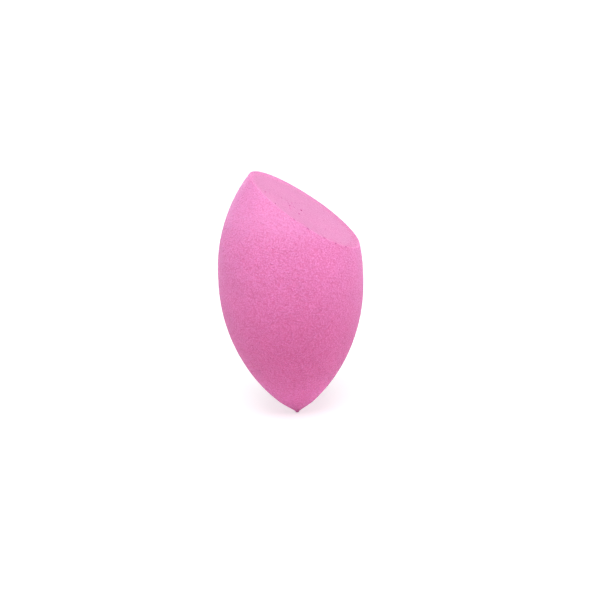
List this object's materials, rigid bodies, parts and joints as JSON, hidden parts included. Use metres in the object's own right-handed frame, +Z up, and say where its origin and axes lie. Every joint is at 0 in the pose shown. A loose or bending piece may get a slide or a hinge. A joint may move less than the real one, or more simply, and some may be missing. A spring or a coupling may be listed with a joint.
{
  "type": "makeup sponge",
  "caption": "Drop-shaped foam makeup sponge with a pointed tip at one end and a flat face cut at a slant across the other, for blending make-up onto skin.",
  "frame": {"origin": "the lowest point of the moulding nib at the tip, on the sponge's centre line", "axes": "+Z up the centre line from the tip to the crown, +X the way the slanted cut faces, so the XZ plane is the plane of symmetry"},
  "size_m": [0.037, 0.037, 0.065],
  "materials": {
    "moulded_skin": "matte",
    "foam_core": "matte"
  },
  "bodies": {
    "root": {"moulded_skin": "moulded_skin", "foam_core": "foam_core"}
  },
  "joints": []
}
